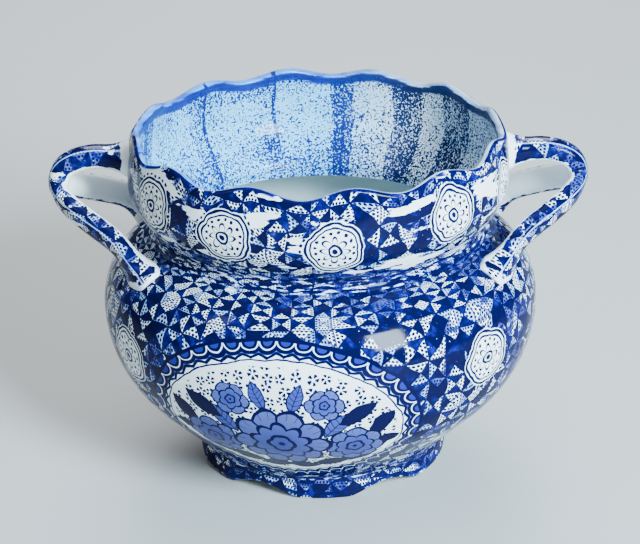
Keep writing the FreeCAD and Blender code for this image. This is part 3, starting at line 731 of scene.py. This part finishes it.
def stippleGlaze(look):
    material, start, body = startGlaze("collarStipple")
    around, down = readMap(start, "lip")
    turn = (around + (body.noise(look["wanderScale"]) - 0.5) * look["wander"]) % 1.0
    before, after = look["verge"]
    seam = bandsAt(turn, [(spot - look["seamHalf"], spot + look["seamHalf"]) for spot in look["seams"]])
    verge = bandsAt(turn, [(spot - before, spot + after) for spot in look["seams"]])
    overlap = bandsAt(turn, look["overlaps"])
    cloud = body.noise(look["cloudScale"], 3.0)
    dense = cloud * look["cloudCrowd"] + overlap * look["overlapCrowd"] + verge * look["vergeCrowd"]
    dense = dense + down.over(*look["low"]) * look["lowCrowd"] + down.under(*look["high"]) * look["highCrowd"]
    speckTone = body.noise(look["speckToneScale"]) * look["speckSpan"] + look["speckLeast"]
    ink = (body.noise(look["speckScale"], 1.0) - dense).under(*look["specks"]) * speckTone
    ink = ink * down.over(*look["speckFrom"])
    ink = ink | (overlap * body.noise(look["overlapScale"]).over(*look["overlapSpecks"]) * look["overlapInk"])
    seam = seam * body.noise(look["seamScale"]).over(*look["seamSpecks"])
    ink = ink | (seam * body.noise(look["seamBreakScale"], 1.0).over(*look["seamBreak"]) * look["seamInk"])
    ink = ink | (cloud * look["cloudInk"]) | (overlap * look["overlapWash"])
    brush = body.stretch(look["brushStretch"]).noise(look["brushScale"], 3.0)
    band = (down + (brush - 0.5) * look["brushSway"]).near(*look["band"])
    band = (band * (brush * look["bandSpan"] + look["bandLeast"])) & look["bandMost"]
    thin = down.under(*look["thin"]) * (brush * look["thinSpan"] + look["thinLeast"])
    ink = ink | band | thin
    # painted light: cyan as if lit by sky-blue light on the left, greyer as painted shade on the right
    shadedRight = body.split()[0].over(*look["shadedRight"]) * look["shadedRightMost"]
    endGlaze(start, body, shadedRight.mix(ink.ramp(look["skyLitStops"]), ink.ramp(look["shadedGreyStops"])), ink)
    return material


collarShell = buildCollar(collarForm)
collarShell.data.materials.append(collarGlaze(collarLook))
stipple = stippleGlaze(stippleLook)
collarShell.data.materials.append(stipple)
bowlShell.data.materials.append(stipple)  # for the neck, which shows below the collar
finishPiece(collarShell, "printed_glaze", "collar")
print("stage: collar")


# Foot ring

footForm = {
    "radius": 0.070, "topRadius": 0.069, "bore": 0.059, "height": 0.014, "round": 0.0026, "arches": 6,
    "archHalf": 0.0215, "archRise": 0.0063, "archPower": 1.5, "steps": 240, "cells": 42, "cellHeight": 0.0104,
    "wallEnd": 0.80, "wallSteps": 9, "roundSteps": 7, "padShares": (0.7, 0.5), "boreSteps": 6,
    "boreShares": (0.35, 0.6, 0.8, 1.0), "topShares": (0.35, 0.7),
}


def footSection(form):  # down the outside, in under the pads, up the bore and out along the top
    edge = form["round"]
    outerTop = (form["topRadius"], form["height"])
    innerTop = (form["bore"], form["height"])
    points = linePoints(outerTop, (form["radius"], 0), np.linspace(0, form["wallEnd"], form["wallSteps"]))
    points += arcPoints((form["radius"] - edge, edge), edge, 0, -math.pi / 2, form["roundSteps"])[1:]
    under = len(points) - 1
    points += linePoints((form["bore"], 0), (form["radius"] - edge, 0), form["padShares"])
    points += arcPoints((form["bore"] + edge, edge), edge, -math.pi / 2, -math.pi, form["boreSteps"])
    points += linePoints((form["bore"], 0), innerTop, form["boreShares"])
    points += linePoints(innerTop, outerTop, form["topShares"])
    return points, under


def buildFoot(form):
    points, under = footSection(form)
    piece = addRing("footRing", points)
    spot, along = spinRing(piece, points, form["steps"], False)
    spots = readSpots(piece)
    share = fullTurn / form["arches"]
    gap = np.arctan2(spots[:, 0], -spots[:, 1]) - math.pi / 2
    gap -= share * np.round(gap / share)
    beside = np.clip(np.abs(np.sin(gap)) * form["radius"] / form["archHalf"], 0, 1)
    lift = form["archRise"] * (1 - beside ** 2) ** form["archPower"]
    spots[:, 2] = lift + spots[:, 2] * (form["height"] - lift) / form["height"]
    writeSpots(piece, spots)
    angle, corner, face = roundAngles(piece)[:3]
    fall = form["height"] - readSpots(piece)[corner, 2]
    addMap(piece, "print", angle * form["cells"] / fullTurn, -fall / form["cellHeight"])
    addMap(piece, "edge", angle, along[spot[corner]] * mm)
    lowest = faceSpan(spot, corner, face)[0]
    paintFaces(piece, lowest >= under)
    return piece


footLook = {  # millimetres down from the top of the foot
    **mosaicLook, "gapShare": (0.72, 0.012), "crowdDown": (3.0, 5.0), "crowd": 0.12, "crowdLeast": 0.05,
    "edgeLine": (10.2, 1.3, 0.9), "edgeScale": 150.0, "edgeSpan": 1.3, "edgeLeast": 0.12, "end": (14.2, 1.2),
}


def footGlaze(look):
    material, start, body = startGlaze("footPrint")
    down = readMap(start, "edge")[1]
    ink = mosaicInk(start, body, look, down.under(*look["crowdDown"]) * look["crowd"] + look["crowdLeast"])
    edgeLine = body.noise(look["edgeScale"], 3.0) * look["edgeSpan"] + look["edgeLeast"]
    ink = ink | (down.near(*look["edgeLine"]) * edgeLine)
    endPrint(start, body, ink * down.under(*look["end"]))
    return material


footRing = buildFoot(footForm)
footRing.data.materials.append(footGlaze(footLook))
footRing.data.materials.append(shadedWhite)
finishPiece(footRing, "printed_glaze", "foot_ring")
print("stage: foot")


# Slip in the two creases

slipForm = {
    "steps": 216, "cells": 62, "cellHeight": 0.0042, "belowLip": 56.0,
    # the hollow that shows, from point to point with a pull between them, then the back of the slip
    "neck": {
        "bend": ((0.0945, 0.1331), (0.0896, 0.1356), (0.0916, 0.1412)), "bendCount": 9, "printFrom": 17.0,
        "back": (
            (0.0870, 0.1410), (0.0842, 0.1378), (0.08362, 0.1366),
            (0.08362, 0.1350), (0.0842, 0.1338), (0.0880, 0.1330),
        ),
    },
    "foot": {
        "bend": ((0.0690, 0.0112), (0.0696, 0.0148), (0.0728, 0.0172)), "bendCount": 8, "printFrom": -1.0,
        "back": (
            (0.0705, 0.0166), (0.0600, 0.0160), (0.05888, 0.0152),
            (0.05888, 0.0140), (0.0600, 0.0132), (0.0680, 0.0112),
        ),
    },
}


def buildSlip(name, form, crease):
    points = bendPoints(*crease["bend"], crease["bendCount"]) + list(crease["back"])
    piece = addRing(name, points)
    spot, along = spinRing(piece, points, form["steps"], False)
    angle, corner, face = roundAngles(piece)[:3]
    height = along[spot[corner]] / form["cellHeight"] + crease["printFrom"]
    addMap(piece, "print", angle * form["cells"] / fullTurn, height)
    addMap(piece, "lip", angle / fullTurn, form["belowLip"])
    highest = faceSpan(spot, corner, face)[1]
    paintFaces(piece, highest >= crease["bendCount"])
    return piece


slipLook = {**mosaicLook, "gapShare": (0.78, 0.012), "crowdScale": 90.0, "crowd": 0.10, "crowdLeast": 0.04}


def slipGlaze(look):
    material, start, body = startGlaze("creasePrintAndShade")
    ink = mosaicInk(start, body, look, body.noise(look["crowdScale"]) * look["crowd"] + look["crowdLeast"])
    # the whole slip gets the crease's dark streaks, partly print and partly painted shade
    endPrint(start, body, creaseInk(ink, body, 1.0, creaseLook))
    return material


creasePrintAndShade = slipGlaze(slipLook)
for name, crease, backGlaze, node in (
    ("neckSlip", "neck", stipple, "neck_joint"), ("footSlip", "foot", shadedWhite, "foot_joint"),
):
    slip = buildSlip(name, slipForm, slipForm[crease])
    slip.data.materials.append(creasePrintAndShade)
    slip.data.materials.append(backGlaze)
    finishPiece(slip, "white_glaze", node)
print("stage: slip in the creases")


# Handles

handleForm = {
    "arm": (
        (0.0960, 0, 0.1752), (0.1048, 0, 0.1752), (0.1140, 0, 0.1760), (0.1233, 0, 0.1762),
        (0.1331, 0, 0.1737), (0.1392, 0, 0.1690), (0.1417, 0, 0.1612), (0.1414, 0, 0.1562),
    ),
    "leg": (
        (0.1417, 0, 0.1602), (0.1406, 0.0053, 0.1584), (0.1376, 0.0115, 0.1558), (0.1315, 0.0185, 0.1522),
        (0.1220, 0.0260, 0.1474), (0.1085, 0.0350, 0.1398), (0.0965, 0.0440, 0.1276), (0.0894, 0.0493, 0.1202),
    ),
    "armHalf": (0.0078, 0.0060), "armTaper": 0.25, "legHalf": (0.0075, 0.0049), "legTaper": 0.15, "legLean": 20.0,
    "taperRun": 0.012, "square": 2.8, "sides": 28, "stations": 40, "knotSteps": 12,
    "voxel": 0.0008, "soften": 0.5, "softenRounds": 14,
    "flare": (0.0050, 0.0036), "flareRun": 0.0130, "bury": 0.0036, "collarFrom": 0.02, "girth": 0.0066, "cell": 0.0108,
}


def smoothPath(points, form):  # a path through the points, at even steps
    knots = [Vector(point) for point in points]
    knots = [knots[0] * 2 - knots[1]] + knots + [knots[-1] * 2 - knots[-2]]
    dense = []
    for spot in range(1, len(knots) - 2):
        before, here, after, beyond = knots[spot - 1:spot + 3]
        for share in np.linspace(0, 1, form["knotSteps"], endpoint=False):
            bend = (2 * before - 5 * here + 4 * after - beyond) * share ** 2
            sway = (3 * here - before - 3 * after + beyond) * share ** 3
            dense.append(0.5 * (2 * here + (after - before) * share + bend + sway))
    dense.append(knots[-2])
    lengths = np.concatenate([[0], np.cumsum([(b - a).length for a, b in zip(dense, dense[1:])])])
    wanted = np.linspace(0, lengths[-1], form["stations"])
    spots = np.array([list(point) for point in dense])
    return np.stack([np.interp(wanted, lengths, spots[:, axis]) for axis in range(3)], 1), wanted


def strapAxes(path, spot, upright, inside):  # along the strap, across its broad face, and into the finger hole
    along = path[min(spot + 1, len(path) - 1)] - path[max(spot - 1, 0)]
    along /= np.linalg.norm(along)
    wide = upright - along * upright.dot(along)
    wide /= np.linalg.norm(wide)
    return along, wide, np.cross(along, wide) * inside


def addStrap(form, path, toFork, upright, inside, half, taper):  # a squarish section, thinner towards the fork
    bpy.ops.object.select_all(action="DESELECT")
    bpy.ops.mesh.primitive_circle_add(vertices=form["sides"], radius=0.01, fill_type="NGON")
    piece = bpy.context.object
    turns = np.linspace(0, fullTurn, form["sides"], endpoint=False)
    power = 2 / form["square"]
    ringWide = np.sign(np.cos(turns)) * np.abs(np.cos(turns)) ** power
    ringDeep = np.sign(np.sin(turns)) * np.abs(np.sin(turns)) ** power
    bpy.ops.object.mode_set(mode="EDIT")
    bpy.ops.mesh.select_all(action="SELECT")
    for spot in range(len(path)):
        sideways, inward = strapAxes(path, spot, upright, inside)[1:]
        thin = 1 - taper * max(0, 1 - toFork[spot] / form["taperRun"]) ** 2
        if spot:
            bpy.ops.mesh.extrude_region()
        cage = bmesh.from_edit_mesh(piece.data)
        ring = [vertex for vertex in cage.verts if vertex.select]
        ring.sort(key=lambda vertex: vertex.index)
        for vertex, wide, deep in zip(ring, ringWide, ringDeep):
            vertex.co = Vector(path[spot] + sideways * wide * half[0] * thin + inward * deep * half[1] * thin)
        bmesh.update_edit_mesh(piece.data)
    bpy.ops.mesh.select_all(action="SELECT")
    bpy.ops.mesh.normals_make_consistent(inside=False)
    bpy.ops.object.mode_set(mode="OBJECT")
    return piece


def buildHandle(form, name, side):
    path, lengths = smoothPath([(side * x, y, z) for x, y, z in form["arm"]], form)
    upright = np.array([0.0, 1.0, 0.0])
    straps = [addStrap(form, path, lengths[-1] - lengths, upright, -side, form["armHalf"], form["armTaper"])]
    paths = [(path, lengths, upright, -side)]
    armLength = lengths[-1]
    lean = math.radians(form["legLean"])
    for back in (-1, 1):
        path, lengths = smoothPath([(side * x, back * y, z) for x, y, z in form["leg"]], form)
        run = path[-1] - path[0]
        outward = np.array([-run[1], run[0], 0]) * (-side * back) / math.hypot(run[0], run[1])
        upright = outward * math.sin(lean) + np.array([0, 0, math.cos(lean)])
        inside = -1 if np.cross(run, upright).dot(outward) > 0 else 1
        straps.append(addStrap(form, path, lengths, upright, inside, form["legHalf"], form["legTaper"]))
        paths.append((path, lengths + armLength, upright, inside))
    bpy.ops.object.select_all(action="DESELECT")
    for strap in straps:
        strap.select_set(True)
    bpy.context.view_layer.objects.active = straps[0]
    bpy.ops.object.join()
    piece = bpy.context.object
    piece.name = piece.data.name = name
    remesh = piece.modifiers.new("blend", "REMESH")
    remesh.mode = "VOXEL"
    remesh.voxel_size = form["voxel"]
    bpy.ops.object.modifier_apply(modifier="blend")
    smooth = piece.modifiers.new("soften", "SMOOTH")
    smooth.factor = form["soften"]
    smooth.iterations = form["softenRounds"]
    bpy.ops.object.modifier_apply(modifier="soften")
    rootAndMap(piece, form, paths)
    return piece


def overPot(spots, form):  # height over the shoulder or the collar, and the way out
    far = np.hypot(spots[:, 0], spots[:, 1])
    arc = bowlForm["shoulderArc"]
    across = far - bowlForm["bellyRadius"] + arc
    up = spots[:, 2] - bowlForm["bellyLevel"]
    reach = np.hypot(across, up)
    onCollar = spots[:, 2] > collarForm["level"] + form["collarFrom"]
    height = np.where(onCollar, far - collarForm["radius"], reach - arc)
    flat = np.where(onCollar, 1, across / reach) / far
    return height, np.stack([spots[:, 0] * flat, spots[:, 1] * flat, np.where(onCollar, 0, up / reach)], 1)


def rootAndMap(piece, form, paths):  # spreads the roots over the pot and maps the straps for the print
    spots = readSpots(piece)
    normals = np.empty(len(spots) * 3)
    piece.data.vertices.foreach_get("normal", normals)
    normals = normals.reshape(-1, 3)
    middles = np.concatenate([path for path, lengths, upright, inside in paths])
    lengths = np.concatenate([lengths for path, lengths, upright, inside in paths])
    axes = [
        strapAxes(path, spot, upright, inside)
        for path, lengths, upright, inside in paths for spot in range(len(path))
    ]
    nearest = np.array([int(np.argmin(((middles - spot) ** 2).sum(1))) for spot in spots])
    along, across, inward = [np.array([three[part] for three in axes])[nearest] for part in range(3)]
    offset = spots - middles[nearest]
    beyond = (offset * along).sum(1)
    wide = (offset * across).sum(1)
    deep = (offset * inward).sum(1)
    apart = offset - along * beyond[:, None]
    apart /= np.linalg.norm(apart, axis=1)[:, None]
    spread = np.clip(1 - overPot(spots, form)[0] / form["flareRun"], 0, 1) ** 2
    for axis, reach in zip((across, inward), form["flare"]):
        spots += axis * ((apart * axis).sum(1) * spread * reach)[:, None]
    height, outward = overPot(spots, form)
    spots += outward * np.clip(-height - form["bury"], 0, None)[:, None]
    writeSpots(piece, spots)
    corner = cornersOf(piece)[0]
    roundabout = np.arctan2(wide, -deep) * form["girth"]
    facing = (normals * inward).sum(1)
    for mapName, first, second in (
        ("print", (lengths[nearest] + beyond) / form["cell"], roundabout / form["cell"]),
        ("face", facing, np.clip(height, 0, None) * mm),
        ("strap", wide * mm, deep * mm),
    ):
        addMap(piece, mapName, first[corner], second[corner])


handleLook = {
    **mosaicLook, "gapShare": (0.66, 0.012), "crowdScale": 60.0, "crowd": 0.10,
    # bare white on the face in the finger hole and at the roots, in millimetres off the pot
    "facing": (0.45, 0.08), "facingRagged": 0.9, "facingScale": 180.0,
    "root": (2.8, 0.8), "rootRagged": 6, "rootScale": 150.0, "ridge": (5.2, 0.45, 0.5), "ridgeWearAndHighlight": 0.75,
}


def handleGlaze(look):
    material, start, body = startGlaze("handlePrint")
    facing, root = readMap(start, "face")
    wide, deep = readMap(start, "strap")
    facing = facing + (body.noise(look["facingScale"]) - 0.5) * look["facingRagged"]
    root = root + (body.noise(look["rootScale"]) - 0.5) * look["rootRagged"]
    ink = mosaicInk(start, body, look, body.noise(look["crowdScale"]) * look["crowd"])
    ink = ink * facing.under(*look["facing"]) * root.over(*look["root"])
    # a bare line along the strap's edge: partly worn print and partly a painted highlight
    ridge = abs(wide).near(*look["ridge"]) * (deep < 0.0)
    endPrint(start, body, ink * (1 - ridge * look["ridgeWearAndHighlight"]))
    return material


handlePrint = handleGlaze(handleLook)
for name, side, nodes in (
    ("leftHandle", -1, ("left_handle", "left_handle_joints")),
    ("rightHandle", 1, ("right_handle", "right_handle_joints")),
):
    handle = buildHandle(handleForm, name, side)
    handle.data.materials.append(handlePrint)
    finishPiece(handle, "printed_glaze", *nodes)
print("stage: handles")


# Floor, light and camera

stageForm = {
    "floor": 14.0, "floorColour": (0.40, 0.393, 0.385, 1), "floorRough": 0.6,
    "sky": ((0.0, (0.17, 0.17, 0.17, 1)), (0.4, (0.11, 0.12, 0.13, 1)), (1.0, (0.52, 0.60, 0.68, 1))),
}

bpy.ops.object.select_all(action="DESELECT")
bpy.ops.mesh.primitive_plane_add(size=stageForm["floor"], location=(0, 0, 0))
floor = bpy.context.object
floor.name = "floor"
floorMaterial = bpy.data.materials.new("floorPaper")
floorMaterial.use_nodes = True
floorShader = floorMaterial.node_tree.nodes["Principled BSDF"]
floorShader.inputs["Base Color"].default_value = stageForm["floorColour"]
floorShader.inputs["Roughness"].default_value = stageForm["floorRough"]
floor.data.materials.append(floorMaterial)

world = bpy.data.worlds.new("studio")
world.use_nodes = True
upward = Wire(world.node_tree).node("ShaderNodeTexCoord").split()[2]
sky = upward.ramp(stageForm["sky"])
world.node_tree.links.new(sky.socket, world.node_tree.nodes["Background"].inputs[0])
bpy.context.scene.world = world

lights = (  # name, place, aim, width and height, watts, colour
    ("keyLight", (0.90, -1.26, 0.94), (0, 0, 0.10), (0.50, 0.68), 165.0, (0.65, 0.88, 1.0)),
    ("fillLight", (-1.20, -0.55, 1.25), (0, 0, 0.10), (0.30, 0.45), 2.5, (1.0, 0.95, 0.88)),
    ("topLight", (-0.10, 0.15, 1.60), (0, 0, 0.15), (0.80, 0.80), 5.0, (0.88, 0.97, 1.0)),
    ("backLight", (0.0, 1.45, 1.20), (0, 0, 0.10), (1.20, 1.00), 42.0, (0.90, 0.96, 1.0)),
)
for name, place, aim, size, power, colour in lights:
    bpy.ops.object.select_all(action="DESELECT")
    bpy.ops.object.light_add(type="AREA", location=place)
    lamp = bpy.context.object
    lamp.name = name
    lamp.rotation_euler = (Vector(aim) - Vector(place)).to_track_quat("-Z", "Y").to_euler()
    lamp.data.shape = "RECTANGLE"
    lamp.data.size, lamp.data.size_y = size
    lamp.data.energy = power
    lamp.data.color = colour

cameraForm = {
    "aim": (0, 0, 0.1052), "distance": 1.168, "elevation": 23.75, "roll": -1.05, "lens": 118.1, "sensor": 36.0,
}
rise = math.radians(cameraForm["elevation"])
away = Vector((0, -math.cos(rise), math.sin(rise))) * cameraForm["distance"]
bpy.ops.object.select_all(action="DESELECT")
bpy.ops.object.camera_add(location=Vector(cameraForm["aim"]) + away)
camera = bpy.context.object
camera.name = "camera"
turned = (-away).to_track_quat("-Z", "Y").to_matrix() @ Matrix.Rotation(math.radians(cameraForm["roll"]), 3, "Z")
camera.rotation_euler = turned.to_euler()
camera.data.lens = cameraForm["lens"]
camera.data.sensor_width = cameraForm["sensor"]
camera.data.sensor_fit = "HORIZONTAL"
bpy.context.scene.camera = camera
print("stage: floor, light and camera")
